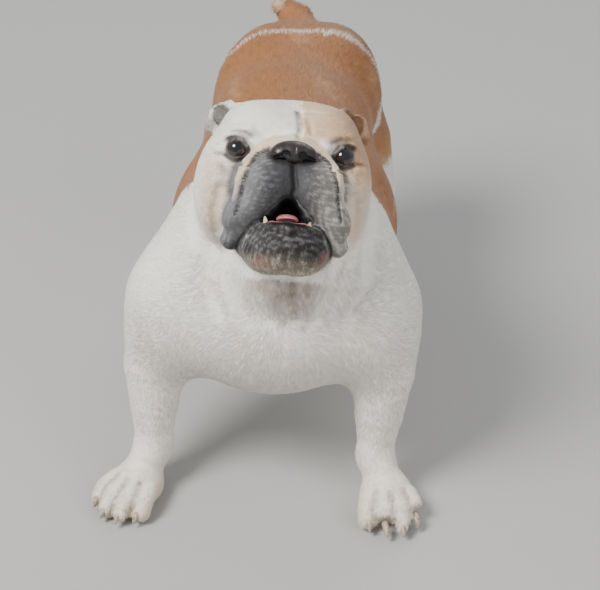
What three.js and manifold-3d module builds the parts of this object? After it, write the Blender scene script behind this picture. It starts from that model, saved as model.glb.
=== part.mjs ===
// A life-size English bulldog that stands and looks up, as faceted solids for a museum model.
//
// The animal faces -Y, its left side is +X and the floor is z = 0. Lengths are millimetres.
// Its form is a set of named soft masses: ellipsoids for flesh, tapered limbs for bones and folds.
// Neighbouring masses melt into each other. The surface round them is drawn part by part, and
// thin cuts keep the parts clear of each other.

import * as THREE from "three";
import { mergeVertices } from "three/addons/utils/BufferGeometryUtils.js";
import Module from "manifold-3d";

const wasm = await Module();
wasm.setup();

const DEGREE = Math.PI / 180;

// Driving dimensions
const FOREFEET_Y = -203; // where the line of the forefeet is drawn, before the model is centred
const GAP = 0.3; // clearance between neighbouring parts
const FINE = 14; // grid of the head
const MIDDLE = 17; // grid of the legs
const COARSE = 28; // grid of the trunk
const EYE_RADIUS = 13;
const CLAW_LENGTH = 13;

// Soft masses. Each has a distance, below zero inside, and a width over which it melts.

// An ellipsoid of flesh. The turn is in degrees about X, Y and Z.
function flesh(at, radii, soft, turn = [0, 0, 0]) {
  const spin = new THREE.Matrix4().makeRotationFromEuler(
    new THREE.Euler(...turn.map((t) => t * DEGREE)),
  );
  const e = spin.transpose().elements;
  const [a, b, c] = radii;
  return {
    soft,
    distance(x, y, z) {
      const dx = x - at[0];
      const dy = y - at[1];
      const dz = z - at[2];
      const u = (e[0] * dx + e[4] * dy + e[8] * dz) / a;
      const v = (e[1] * dx + e[5] * dy + e[9] * dz) / b;
      const w = (e[2] * dx + e[6] * dy + e[10] * dz) / c;
      const near = Math.hypot(u, v, w);
      const slope = Math.hypot(u / a, v / b, w / c);
      return slope < 1e-9 ? -Math.min(a, b, c) : (near * (near - 1)) / slope;
    },
  };
}

// A limb through a row of stations, each [x, y, z, radius].
function limb(stations, soft) {
  const bones = stations.slice(1).map((to, i) => {
    const from = stations[i];
    const run = [to[0] - from[0], to[1] - from[1], to[2] - from[2]];
    return { from, run, square: run[0] ** 2 + run[1] ** 2 + run[2] ** 2, grow: to[3] - from[3] };
  });
  return {
    soft,
    distance(x, y, z) {
      let d = 1e3;
      for (const { from, run, square, grow } of bones) {
        const px = x - from[0];
        const py = y - from[1];
        const pz = z - from[2];
        const along = (px * run[0] + py * run[1] + pz * run[2]) / square;
        const t = Math.min(1, Math.max(0, along));
        const gap = Math.hypot(px - t * run[0], py - t * run[1], pz - t * run[2]);
        d = Math.min(d, gap - from[3] - t * grow);
      }
      return d;
    },
  };
}

// A hollow pressed into the masses before it, such as a crease or the mouth.
const hollow = (mass) => ({ ...mass, hollow: true });

// The same masses on both sides of the midline.
const pair = (make) => [make(1), make(-1)].flat();

// Two distances melted into one over a width of soft.
function melt(a, b, soft) {
  const h = Math.max(soft - Math.abs(a - b), 0) / soft;
  return Math.min(a, b) - (h * h * soft) / 4;
}

function distanceTo(masses, x, y, z) {
  let d = 1e3;
  for (const mass of masses) {
    const other = mass.distance(x, y, z);
    d = mass.hollow ? -melt(-d, other, mass.soft) : melt(d, other, mass.soft);
  }
  return d;
}

// Body. Its y is counted back from the line of the forefeet.

const trunk = [
  flesh([0, 58, 222], [118, 88, 100], 36), // forechest
  flesh([3, 180, 256], [130, 150, 116], 44), // rib cage
  flesh([0, 318, 288], [98, 130, 90], 44), // loin, arched a little over the withers
  flesh([0, 412, 292], [88, 84, 84], 36), // rump
  flesh([40, 424, 319], [54, 62, 58], 30), // hip bones, the left one thrown out a little
  flesh([-30, 424, 315], [52, 62, 56], 30),
  flesh([0, 130, 305], [88, 96, 62], 36), // withers
  ...pair((s) => flesh([s * 108, 66, 212], [55, 70, 88], 34)), // shoulders
  flesh([69, 84, 282], [58, 70, 62], 34), // shoulder blades
  flesh([-62, 84, 284], [56, 70, 62], 34),
  ...pair((s) => flesh([s * 64, 412, 240], [42, 74, 96], 26)), // thighs
];

const neck = [
  limb([[6, 100, 290, 98], [18, 90, 374, 78]], 36),
  flesh([16, 2, 312], [50, 40, 46], 26), // throat
  limb([[2, -20, 335, 13], [6, -18, 300, 12], [18, -8, 268, 10]], 10), // dewlap, a fold on each side
  limb([[52, -14, 330, 13], [46, -14, 300, 13], [36, -6, 262, 10]], 10),
];

const tail = [
  limb([[0, 452, 344, 30], [-4, 476, 362, 21], [-20, 486, 372, 15], [-28, 482, 378, 10]], 14),
];

// A foreleg from shoulder to wrist, with its paw in its own place and turned out by its own angle.
function foreleg(elbow, wrist, paw, turnOut) {
  const side = Math.sign(elbow[0]);
  const shoulder = [side * 112, 64, 225, 46];
  const forearm = [(elbow[0] + wrist[0]) / 2, 34, 104, 29];
  return [
    limb([shoulder, elbow, forearm, wrist], 20),
    ...foot(wrist, paw, turnOut * side, 1),
  ];
}

function hindleg(s) {
  const hock = [s * 80, 462, 92, 21];
  const ankle = [s * 84, 446, 44, 20];
  return [
    limb([[s * 70, 412, 225, 46], [s * 84, 385, 178, 42], hock], 24),
    limb([hock, ankle], 12),
    ...foot(ankle, [s * 88, 414], 10 * s, 0.9),
  ];
}

// A foot below its wrist or ankle: the pad, and four arched toes of which the middle two reach out.
const TOES = [
  { across: -27, reach: 34, radius: 10 },
  { across: -9.5, reach: 46, radius: 11 },
  { across: 9.5, reach: 46, radius: 11 },
  { across: 27, reach: 35, radius: 10 },
];

function placeOnFoot(paw, turn, size) {
  const c = Math.cos(turn * DEGREE) * size;
  const s = Math.sin(turn * DEGREE) * size;
  return (across, ahead, up) => [
    paw[0] + across * c + ahead * s,
    paw[1] + across * s - ahead * c,
    up * size,
  ];
}

function foot(joint, paw, turn, size) {
  const place = placeOnFoot(paw, turn, size);
  return [
    limb([joint, [...place(0, -6, 26), 22 * size]], 14),
    flesh(place(0, 4, 19), [31 * size, 34 * size, 24 * size], 10, [0, 0, turn]),
    ...TOES.map(({ across, reach, radius }) =>
      limb(
        [
          [...place(across * 0.8, reach * 0.3, 25), (radius + 1) * size],
          [...place(across * 0.95, reach * 0.75, 22), (radius + 1) * size],
          [...place(across, reach, 11), radius * size],
        ],
        4,
      ),
    ),
  ];
}

const FEET = {
  foreleg_left: { paw: [133, -8], turn: 12, size: 1 },
  foreleg_right: { paw: [-150, -10], turn: -25, size: 1 },
  hindleg_left: { paw: [88, 414], turn: 10, size: 0.9 },
  hindleg_right: { paw: [-88, 414], turn: -10, size: 0.9 },
};

const legs = [
  ...foreleg([124, 46, 150, 36], [118, 21, 52, 19.5], FEET.foreleg_left.paw, 12),
  ...foreleg([-132, 46, 150, 36], [-134, 20, 52, 20], FEET.foreleg_right.paw, 25),
  ...pair(hindleg),
];

const body = [...trunk, ...neck, ...tail, ...legs];

// Head. Its masses stand in a frame of its own: the origin is the middle of the nose leather,
// x is the animal's left, y goes back into the skull and z goes up the face.

const NOSE = { at: [27, 4, 455], turn: 9, lift: 35, roll: 7 };

const headToBody = (() => {
  const [a, e, r] = [NOSE.turn, NOSE.lift, NOSE.roll].map((t) => t * DEGREE);
  const back = new THREE.Vector3(-Math.sin(a) * Math.cos(e), Math.cos(a) * Math.cos(e), -Math.sin(e));
  const level = new THREE.Vector3(Math.cos(a), Math.sin(a), 0);
  const x = level.clone().applyAxisAngle(back, r);
  const z = new THREE.Vector3().crossVectors(x, back);
  return new THREE.Matrix4().makeBasis(x, back, z).setPosition(...NOSE.at);
})();
const bodyToHead = headToBody.clone().invert().elements;

const face = [
  flesh([0, 106, -3], [82, 74, 63], 20), // skull
  ...pair((s) => flesh([s * 34, 84, 30], [38, 42, 29], 16)), // crown, broad and flat
  flesh([0, 60, 22], [30, 30, 20], 14), // forehead
  ...pair((s) => flesh([s * 36, 56, 18], [36, 26, 22], 14)), // brows
  ...pair((s) => flesh([s * 60 - 3, 88, -36], [35, 50, 58], 20)), // cheeks
  ...pair((s) => flesh([s * 64, 62, -22], [22, 24, 24], 14)), // cheekbones
  flesh([0, 42, -34], [56, 46, 48], 10), // muzzle
  ...pair((s) => flesh([s * 27, 18, -33], [28, 27, 28], 8)), // lip cushions
  ...pair((s) => flesh([s * 35, 20, -51], [40, 25, 20], 8, [0, s * 44, 0])), // upper lips
  ...pair((s) => limb([[s * 47, 27, -76, 16], [s * 54, 34, -90, 12.5]], 8)), // flews
  hollow(flesh([0, 4, -65], [23, 40, 9], 4)), // the open mouth, wide below
  hollow(flesh([0, 4, -56], [12, 40, 11], 4)), // and narrow above
  // the fold over the nose
  ...pair((s) =>
    limb(
      [
        [0, 24, 11, 6],
        [s * 14, 24, 9, 6],
        [s * 34, 28, 1, 7.5],
        [s * 49, 36, -16, 7.5],
        [s * 55, 42, -36, 6.5],
        [s * 57, 46, -56, 5],
      ],
      4,
    ),
  ),
];

const jaw = [
  flesh([0, 14, -98], [41, 30, 26], 10), // chin
  ...pair((s) => limb([[0, -6, -78, 9], [s * 30, 8, -82, 8]], 8)), // lower lip
  ...pair((s) => limb([[s * 20, 22, -98, 24], [s * 42, 66, -78, 24]], 14)), // its branches
];

const noseLeather = [flesh([1, 8, 1], [22, 12, 12], 4)];

// A small ear that folds back on itself: its root on the skull, the flap and the tip turned out.
function ear(s) {
  return [
    limb([[s * 52, 100, 50, 6], [s * 62, 113, 59, 5]], 6),
    flesh([s * 71, 122, 36], [18, 13, 25], 6, [0, s * 28, 0]),
    limb([[s * 76, 118, 22, 6], [s * 87, 124, 30, 5]], 4),
  ];
}

// Fields: the distance to the surface of a set of parts, in the model's own place

const bodyY = (y) => y - FOREFEET_Y;

function inHead(masses) {
  const m = bodyToHead;
  return (x, y, z) => {
    const b = bodyY(y);
    return distanceTo(
      masses,
      m[0] * x + m[4] * b + m[8] * z + m[12],
      m[1] * x + m[5] * b + m[9] * z + m[13],
      m[2] * x + m[6] * b + m[10] * z + m[14],
    );
  };
}

const bodyField = (x, y, z) => distanceTo(body, x, bodyY(y), z);
const faceField = inHead(face);
const wholeField = (x, y, z) => melt(bodyField(x, y, z), faceField(x, y, z), 24);

// A closed mesh round the places where a field is below zero, drawn on a grid of cubes.
// Each cube that the surface crosses gets one vertex, which is then drawn onto the surface.
function surfaceOf(field, low, high, cell) {
  const count = low.map((l, k) => Math.ceil((high[k] - l) / cell) + 1);
  const at = (i, j, k) => (k * count[1] + j) * count[0] + i;
  const edge = (n, k) => n === 0 || n === count[k] - 1;
  const values = new Float64Array(count[0] * count[1] * count[2]);
  for (let k = 0; k < count[2]; k++)
    for (let j = 0; j < count[1]; j++)
      for (let i = 0; i < count[0]; i++)
        values[at(i, j, k)] =
          edge(i, 0) || edge(j, 1) || edge(k, 2)
            ? cell
            : field(low[0] + i * cell, low[1] + j * cell, low[2] + k * cell);
  closeCorners(values, count);
  const corners = [0, 1, 2, 3, 4, 5, 6, 7].map((c) => [c & 1, (c >> 1) & 1, (c >> 2) & 1]);
  const edges = [];
  for (let a = 0; a < 8; a++) for (const bit of [1, 2, 4]) if (!(a & bit)) edges.push([a, a | bit]);
  const vertexOf = new Map();
  const positions = [];
  for (let k = 0; k < count[2] - 1; k++)
    for (let j = 0; j < count[1] - 1; j++)
      for (let i = 0; i < count[0] - 1; i++) {
        const v = corners.map(([a, b, c]) => values[at(i + a, j + b, k + c)]);
        const inside = v.filter((d) => d < 0).length;
        if (inside === 0 || inside === 8) continue;
        const sum = [0, 0, 0];
        let crossings = 0;
        for (const [a, b] of edges) {
          if (v[a] < 0 === v[b] < 0) continue;
          const t = v[a] / (v[a] - v[b]);
          for (let m = 0; m < 3; m++) sum[m] += corners[a][m] + t * (corners[b][m] - corners[a][m]);
          crossings++;
        }
        const p = sum.map((s, m) => low[m] + cell * ([i, j, k][m] + s / crossings));
        vertexOf.set(at(i, j, k), positions.length / 3);
        positions.push(...drawnOnto(field, p, cell * 0.45));
      }
  const index = [];
  const quad = (a, b, c, d, flip) => {
    const q = [a, b, c, d].map((key) => vertexOf.get(key));
    if (flip) q.reverse();
    index.push(q[0], q[1], q[2], q[0], q[2], q[3]);
  };
  for (let k = 0; k < count[2] - 1; k++)
    for (let j = 0; j < count[1] - 1; j++)
      for (let i = 0; i < count[0] - 1; i++) {
        const here = values[at(i, j, k)] < 0;
        if (j && k && here !== values[at(i + 1, j, k)] < 0)
          quad(at(i, j - 1, k - 1), at(i, j, k - 1), at(i, j, k), at(i, j - 1, k), !here);
        if (i && k && here !== values[at(i, j + 1, k)] < 0)
          quad(at(i - 1, j, k - 1), at(i - 1, j, k), at(i, j, k), at(i, j, k - 1), !here);
        if (i && j && here !== values[at(i, j, k + 1)] < 0)
          quad(at(i - 1, j - 1, k), at(i, j - 1, k), at(i, j, k), at(i - 1, j, k), !here);
      }
  const made = new THREE.BufferGeometry();
  made.setAttribute("position", new THREE.Float32BufferAttribute(positions, 3));
  made.setIndex(index);
  made.userData.welded = true;
  return made;
}

// Where two solid corners of a grid square touch only across its diagonal, the emptier of the
// other two is filled, so that no two sheets of the surface share an edge.
function closeCorners(values, count) {
  const strides = [1, count[0], count[0] * count[1]];
  for (let changed = true; changed; ) {
    changed = false;
    for (let n = 0; n < values.length; n++) {
      const place = [n % count[0], Math.floor(n / count[0]) % count[1], Math.floor(n / strides[2])];
      for (const [p, q] of [[0, 1], [0, 2], [1, 2]]) {
        if (place[p] + 1 >= count[p] || place[q] + 1 >= count[q]) continue;
        const [a, b, c, d] = [n, n + strides[p], n + strides[p] + strides[q], n + strides[q]];
        const [va, vb, vc, vd] = [a, b, c, d].map((i) => values[i] < 0);
        if (va !== vc || vb !== vd || va === vb) continue;
        const [e, f] = va ? [b, d] : [a, c];
        values[values[e] < values[f] ? e : f] = -0.01;
        changed = true;
      }
    }
  }
}

// A point moved along the field's slope until it lies on the surface, by no more than it may.
function drawnOnto(field, start, most) {
  const p = [...start];
  const step = 0.5;
  for (let round = 0; round < 3; round++) {
    const d = field(...p);
    const slope = [0, 1, 2].map((m) => {
      const q = [...p];
      q[m] += step;
      return (field(...q) - d) / step;
    });
    const steep = Math.max(0.2, slope[0] ** 2 + slope[1] ** 2 + slope[2] ** 2);
    for (let m = 0; m < 3; m++) {
      const moved = p[m] - (d * slope[m]) / steep;
      p[m] = Math.min(start[m] + most, Math.max(start[m] - most, moved));
    }
  }
  return p;
}

// Every vertex moved out along its normal, which makes the clearance round an inlaid part.
function swollen(geometry, by) {
  const made = geometry.clone();
  made.computeVertexNormals();
  const p = made.attributes.position;
  const n = made.attributes.normal;
  for (let i = 0; i < p.count; i++)
    p.setXYZ(i, p.getX(i) + by * n.getX(i), p.getY(i) + by * n.getY(i), p.getZ(i) + by * n.getZ(i));
  made.deleteAttribute("normal");
  return made;
}

// Cuts

function solid(geometry) {
  const bare = new THREE.BufferGeometry();
  bare.setAttribute("position", geometry.attributes.position.clone());
  if (geometry.index) bare.setIndex(geometry.index.clone());
  const merged = geometry.userData.welded ? bare : mergeVertices(bare, 1e-4);
  return new wasm.Manifold(
    new wasm.Mesh({
      numProp: 3,
      vertProperties: new Float32Array(merged.attributes.position.array),
      triVerts: new Uint32Array(merged.index.array),
    }),
  );
}

function geometryOf(manifold) {
  const mesh = manifold.getMesh();
  const made = new THREE.BufferGeometry();
  made.setAttribute("position", new THREE.Float32BufferAttribute(mesh.vertProperties, 3));
  made.setIndex([...mesh.triVerts]);
  return made;
}

// A cut plane through a point. The parts on its two sides each stay half a gap away from it.
function plane(point, normal) {
  const n = new THREE.Vector3(...normal).normalize();
  const offset = n.dot(new THREE.Vector3(point[0], point[1] + FOREFEET_Y, point[2]));
  return {
    above: (m) => m.trimByPlane(n.toArray(), offset + GAP / 2),
    below: (m) => m.trimByPlane(n.clone().negate().toArray(), -offset + GAP / 2),
  };
}

const headPlace = headToBody.clone().premultiply(new THREE.Matrix4().makeTranslation(0, FOREFEET_Y, 0));

// The block of space that belongs to the head: in front of the nape and above the throat.
function headBlock(grow) {
  const nape = 118 + grow;
  const throat = (back) => -126 + 0.25 * (back - 14) - grow;
  const side = new THREE.Shape([
    new THREE.Vector2(nape, throat(nape)),
    new THREE.Vector2(nape, 150),
    new THREE.Vector2(-150, 150),
    new THREE.Vector2(-150, throat(-150)),
  ]);
  const block = new THREE.ExtrudeGeometry(side, { depth: 400, bevelEnabled: false });
  block.translate(0, 0, -200);
  // the drawn side lies in the head's y and z, and its depth runs along the head's x
  const stand = new THREE.Matrix4().set(0, 0, 1, 0, 1, 0, 0, 0, 0, 1, 0, 0, 0, 0, 0, 1);
  return solid(block.applyMatrix4(headPlace.clone().multiply(stand)));
}

// Planes between trunk, neck and legs
const collar = plane([0, 80, 312], [0, -0.375, 0.927]);
const elbowPlane = (s) => plane([s * 125, 0, 152], [-s * 0.49, 0, 0.87]);
const thighPlane = (s) => plane([s * 85, 390, 195], [-s * 0.22, -0.4, 0.89]);
const floor = (m) => m.trimByPlane([0, 0, 1], 0);

// Build

const group = new THREE.Group();
const colours = {
  white: 0xf1e9db,
  tan: 0xb0804f,
  jaw: 0x5d524a,
  dark: 0x2c2628,
  eye: 0x21160f,
  claw: 0x6b5844,
  tongue: 0xc9807c,
  tooth: 0xe9dfc0,
};

function add(name, made, colour) {
  const mesh = new THREE.Mesh(
    made instanceof THREE.BufferGeometry ? made : geometryOf(made),
    new THREE.MeshStandardMaterial({ color: colour, roughness: 0.8 }),
  );
  mesh.name = name;
  group.add(mesh);
}

const bodySide = (s, y0, y1, z1) => [
  [s > 0 ? 8 : -208, y0, -15],
  [s > 0 ? 208 : -8, y1, z1],
];
const withoutTail = (x, y, z) => distanceTo([...trunk, ...neck, ...legs], x, bodyY(y), z);
const torso = (x, y, z) => melt(withoutTail(x, y, z), faceField(x, y, z), 24);

// Lower jaw and head

const jawShape = surfaceOf(inHead(jaw), [-110, -300, 290], [130, -60, 470], FINE);
const jawRoom = solid(swollen(jawShape, 2 * GAP));
add("lower_jaw", solid(jawShape).intersect(headBlock(-GAP / 2)), colours.jaw);

const headShape = surfaceOf(torso, [-140, -300, 260], [160, -60, 500], FINE);
const headRoom = solid(swollen(headShape, GAP)).subtract(solid(jawShape));
let head = collar.above(solid(headShape)).intersect(headBlock(-GAP / 2)).subtract(jawRoom);

// Eyes in their sockets
for (const [name, s] of [["left", 1], ["right", -1]]) {
  const eye = (radius) =>
    new THREE.SphereGeometry(radius, 12, 8).applyMatrix4(
      headPlace.clone().multiply(new THREE.Matrix4().makeTranslation(s * 55, 47, 3)),
    );
  add(`eye_${name}`, eye(EYE_RADIUS), colours.eye);
  head = head.subtract(solid(eye(EYE_RADIUS + 2 * GAP)));
}
add("head", head, colours.white);

add("nose", solid(surfaceOf(inHead(noseLeather), [-30, -260, 420], [90, -150, 490], 7)).subtract(headRoom), colours.dark);

for (const [name, s] of [["left", 1], ["right", -1]])
  add(
    `ear_${name}`,
    solid(surfaceOf(inHead(ear(s)), [-140, -230, 380], [170, -20, 520], 8)).subtract(headRoom),
    colours.white,
  );

// Lower canines and tongue, which show in the open mouth
for (const [name, s, height] of [["left", 1, 9], ["right", -1, 12]]) {
  const tooth = new THREE.ConeGeometry(3.4, height + 8, 8);
  tooth.rotateX(90 * DEGREE).translate(s * 22, 0, -74 + height / 2);
  add(`canine_${name}`, solid(tooth.applyMatrix4(headPlace)).subtract(jawRoom).subtract(headRoom), colours.tooth);
}
const tongue = new THREE.SphereGeometry(1, 12, 6).scale(12, 20, 6).translate(0, 10, -68);
add("tongue", solid(tongue.applyMatrix4(headPlace)).subtract(jawRoom).subtract(headRoom), colours.tongue);

// Neck, trunk and tail

const neckShape = surfaceOf(torso, [-170, -280, 230], [190, 30, 500], 22);
add("neck", collar.above(solid(neckShape)).subtract(headBlock(GAP / 2)).subtract(jawRoom), colours.white);

const trunkShape = surfaceOf(withoutTail, [-210, -300, 60], [210, 320, 440], COARSE);
let trunkSolid = collar.below(solid(trunkShape));
for (const s of [1, -1]) trunkSolid = thighPlane(s).above(elbowPlane(s).above(trunkSolid));
add("trunk", trunkSolid, colours.tan);

const trunkRoom = solid(swollen(trunkShape, GAP));
const tailShape = surfaceOf((x, y, z) => distanceTo(tail, x, bodyY(y), z), [-60, 200, 290], [50, 320, 410], 9);
add("tail", solid(tailShape).subtract(trunkRoom), colours.tan);

// Legs, with claws

// A claw is a short cone that bends to the floor. It grows from the top of its toe's tip.
function addClaws(leg, shape) {
  const { paw, turn, size } = FEET[leg];
  const place = placeOnFoot(paw, turn, size);
  const room = solid(swollen(shape, GAP));
  TOES.forEach(({ across, reach }, i) => {
    const claw = new THREE.ConeGeometry(4.4 * size, CLAW_LENGTH * size, 6, 2);
    claw.translate(0, (CLAW_LENGTH * size) / 2, 0).rotateX(205 * DEGREE);
    claw.rotateZ(turn * DEGREE);
    const [x, y, z] = place(across, reach + 3, 15);
    const grown = solid(claw.translate(x, y + FOREFEET_Y, z)).subtract(room);
    add(`claw_${leg}_${i + 1}`, grown, colours.claw);
  });
}

for (const [name, s] of [["left", 1], ["right", -1]]) {
  const fore = surfaceOf(withoutTail, ...bodySide(s, -300, -40, 200), MIDDLE);
  add(`foreleg_${name}`, floor(elbowPlane(s).below(solid(fore))), colours.white);
  addClaws(`foreleg_${name}`, fore);
  const hind = surfaceOf(withoutTail, ...bodySide(s, 90, 310, 270), MIDDLE);
  add(`hindleg_${name}`, floor(thighPlane(s).below(solid(hind))), colours.white);
  addClaws(`hindleg_${name}`, hind);
}

// The model is centred: its origin is on the floor under the middle of its box
const box = new THREE.Box3().setFromObject(group);
const middle = box.getCenter(new THREE.Vector3());
for (const mesh of group.children) mesh.geometry.translate(-middle.x, -middle.y, 0);

export default group;
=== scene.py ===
# %% [markdown]
# An English bulldog that stands and looks up, life size, over the CAD frame.
# The frame gives every size and place. It is loaded first, because all that follows
# is fitted to it.

# %% Load the frame
import math
import time
import bmesh
import bpy
import numpy as np
from mathutils import Matrix, Vector


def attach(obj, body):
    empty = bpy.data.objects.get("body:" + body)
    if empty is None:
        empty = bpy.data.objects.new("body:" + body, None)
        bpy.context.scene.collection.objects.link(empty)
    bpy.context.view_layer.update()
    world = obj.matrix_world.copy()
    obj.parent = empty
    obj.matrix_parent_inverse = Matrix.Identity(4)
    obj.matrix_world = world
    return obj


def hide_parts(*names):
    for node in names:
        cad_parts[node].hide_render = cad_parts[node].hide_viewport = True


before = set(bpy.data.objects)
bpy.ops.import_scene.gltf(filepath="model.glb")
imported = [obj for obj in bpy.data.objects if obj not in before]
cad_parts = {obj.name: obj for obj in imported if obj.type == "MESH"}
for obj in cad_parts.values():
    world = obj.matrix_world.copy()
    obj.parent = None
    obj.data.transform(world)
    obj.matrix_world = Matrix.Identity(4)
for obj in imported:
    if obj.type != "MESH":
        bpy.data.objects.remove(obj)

began = time.time()
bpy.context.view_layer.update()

# %% [markdown]
# The photographer stood in front of the animal and looked down at it. A long lens far away
# gives the same shapes: the head isn't much larger than the paws in the photograph.
# Every length below is in millimetres from one point on the floor, midway between the
# forefeet, because the animal's parts are easiest to place from there.

# %% Camera
ORIGIN = np.array((12.8, -215.0, 0.0))  # that point, in the frame, in mm
TARGET = Vector((0.0308 + ORIGIN[0] / 1000, 0.050 + ORIGIN[1] / 1000, 0.247))
AZIMUTH, ELEVATION = math.radians(4.3), math.radians(35)
DISTANCE, LENS = 2.182, 120  # in m and in mm
back = Vector((math.sin(AZIMUTH) * math.cos(ELEVATION), -math.cos(AZIMUTH) * math.cos(ELEVATION),
               math.sin(ELEVATION)))
lens = bpy.data.cameras.new("camera")
lens.lens = LENS
lens.sensor_width = 36
camera = bpy.data.objects.new("camera", lens)
bpy.context.scene.collection.objects.link(camera)
camera.location = TARGET + DISTANCE * back
camera.rotation_euler = (TARGET - camera.location).to_track_quat("-Z", "Y").to_euler()
bpy.context.scene.camera = camera
print("camera", tuple(round(c, 3) for c in camera.location))

# %% [markdown]
# A body is soft all over, so its form is written as soft masses: ellipsoids of flesh,
# and limbs that taper from station to station. Each mass has a distance that is below zero
# inside it, and neighbouring distances melt into each other. These are the same masses
# that the CAD solids were drawn round, in millimetres, with finer folds added on the face.
# The last number of each mass says over how many millimetres it melts into the ones before.

# %% Soft masses
FAR = 150.0  # a distance beyond the reach of any melting


def flesh(at, radii, soft, turn=(0, 0, 0)):
    a, b, c = (math.radians(t) for t in turn)
    spin = np.array(Matrix.Rotation(a, 3, "X") @ Matrix.Rotation(b, 3, "Y") @ Matrix.Rotation(c, 3, "Z"))
    return {"kind": "flesh", "at": np.array(at, float), "radii": np.array(radii, float),
            "soft": soft, "spin": spin, "reach": max(radii)}


def limb(stations, soft):
    rows = np.array(stations, float)
    middle = rows[:, :3].mean(0)
    reach = (np.linalg.norm(rows[:, :3] - middle, axis=1) + rows[:, 3]).max()
    return {"kind": "limb", "rows": rows, "at": middle, "soft": soft, "reach": reach}


def hollow(mass):
    """The same form, carved out of the masses before it."""
    return {**mass, "hollow": True}


def pair(make):
    """Makes a mass, or a list of them, for the animal's left side (1) and right side (-1)."""
    out = []
    for side in (1, -1):
        made = make(side)
        out += made if isinstance(made, list) else [made]
    return out


def own_distance(mass, p):
    if mass["kind"] == "flesh":
        q = (p - mass["at"]) @ mass["spin"] / mass["radii"]
        scaled = np.linalg.norm(q, axis=1)
        slope = np.linalg.norm(q / mass["radii"], axis=1)
        return scaled * (scaled - 1) / np.maximum(slope, 1e-9)
    d = np.full(len(p), 1e3)
    rows = mass["rows"]
    for start, end in zip(rows[:-1], rows[1:]):
        run = end[:3] - start[:3]
        t = np.clip((p - start[:3]) @ run / (run @ run), 0, 1)
        gap = np.linalg.norm(p - start[:3] - t[:, None] * run, axis=1)
        d = np.minimum(d, gap - start[3] - t * (end[3] - start[3]))
    return d


def melt(a, b, soft):
    h = np.maximum(soft - np.abs(a - b), 0) / soft
    return np.minimum(a, b) - h * h * soft / 4


def distance_to(masses, p):
    d = np.full(len(p), FAR)
    for mass in masses:
        gap = np.linalg.norm(p - mass["at"], axis=1) - mass["reach"]
        close = np.nonzero(gap < np.maximum(d, 0) + mass["soft"] + 1)[0]
        if not len(close):
            continue
        own = own_distance(mass, p[close])
        if mass.get("hollow"):
            d[close] = -melt(-d[close], own, mass["soft"])
        else:
            d[close] = melt(d[close], own, mass["soft"])
    return d


def slope_of(distance, p, step=0.4):
    """The distance at each point and how it changes along x, y and z."""
    d = distance(p)
    slope = np.stack([(distance(p + step * axis) - d) / step for axis in np.eye(3)], axis=1)
    return d, slope


# %% [markdown]
# The trunk of the breed: a deep, very wide front, a loin that arches a little over the
# withers and narrow hips. The legs stand outside the rib cage, not under it.

# %% Trunk, neck and tail
trunk = [
    flesh((0, 58, 222), (118, 88, 100), 36),
    flesh((3, 180, 256), (130, 150, 116), 44),
    flesh((0, 318, 288), (98, 130, 90), 44),
    flesh((0, 412, 292), (88, 84, 84), 36),
    flesh((40, 424, 319), (54, 62, 58), 30),
    flesh((-30, 424, 315), (52, 62, 56), 30),
    flesh((0, 130, 305), (88, 96, 62), 36),
    *pair(lambda s: flesh((s * 108, 66, 212), (55, 70, 88), 34)),
    flesh((69, 84, 282), (58, 70, 62), 34),
    flesh((-62, 84, 284), (56, 70, 62), 34),
    *pair(lambda s: flesh((s * 64, 412, 240), (42, 74, 96), 26)),
]
neck = [
    limb([(6, 100, 290, 98), (18, 90, 374, 78)], 36),
    flesh((16, 2, 312), (50, 40, 46), 26),
    limb([(2, -20, 335, 13), (6, -18, 300, 12), (18, -8, 268, 10)], 10),
    limb([(52, -14, 330, 13), (46, -14, 300, 13), (36, -6, 262, 10)], 10),
]
tail = [limb([(0, 452, 344, 30), (-4, 476, 362, 21), (-20, 486, 372, 15), (-28, 482, 378, 10)], 14)]

# %% [markdown]
# The forelegs are short, straight and far apart, and the hind legs are lighter, with a hock.
# A foot is a pad with four round toes, and thin hollows between the toes part them.

# %% Legs and feet
# each toe: across, ahead and radius
TOES = [(-27, 34, 10), (-9.5, 46, 11), (9.5, 46, 11), (27, 35, 10)]
# each foot: its place on the floor, its turn in degrees, and its size
FEET = {
    "foreleg_left": ((133, -8), 12, 1.0),
    "foreleg_right": ((-150, -10), -25, 1.0),
    "hindleg_left": ((88, 414), 10, 0.9),
    "hindleg_right": ((-88, 414), -10, 0.9),
}


def on_foot(leg):
    paw, turn, size = FEET[leg]
    c, s = math.cos(math.radians(turn)) * size, math.sin(math.radians(turn)) * size
    return lambda across, ahead, up: (paw[0] + across * c + ahead * s,
                                      paw[1] + across * s - ahead * c, up * size)


def foot(joint, leg):
    place, turn, size = on_foot(leg), FEET[leg][1], FEET[leg][2]
    made = [limb([joint, (*place(0, -6, 26), 22 * size)], 14),
            flesh(place(0, 4, 19), (31 * size, 34 * size, 24 * size), 10, (0, 0, turn))]
    for across, reach, radius in TOES:
        made.append(limb([(*place(across * 0.8, reach * 0.3, 25), (radius + 1) * size),
                          (*place(across * 0.95, reach * 0.75, 22), (radius + 1) * size),
                          (*place(across, reach, 13), (radius + 1.2) * size)], 3))
    for across, reach in ((-18.5, 40), (0, 47), (18.5, 40)):
        made.append(hollow(limb([(*place(across * 0.8, reach * 0.4, 37), 1.8 * size),
                                 (*place(across, reach * 0.85, 25), 3 * size),
                                 (*place(across * 1.05, reach + 7, 16), 2.8 * size),
                                 (*place(across * 1.05, reach + 7, 4), 2.8 * size)], 2)))
    return made


def foreleg(elbow, wrist, leg):
    side = math.copysign(1, elbow[0])
    forearm = ((elbow[0] + wrist[0]) / 2, 34, 104, 29)
    return [limb([(side * 112, 64, 225, 46), elbow, forearm, wrist], 20), *foot(wrist, leg)]


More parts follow.
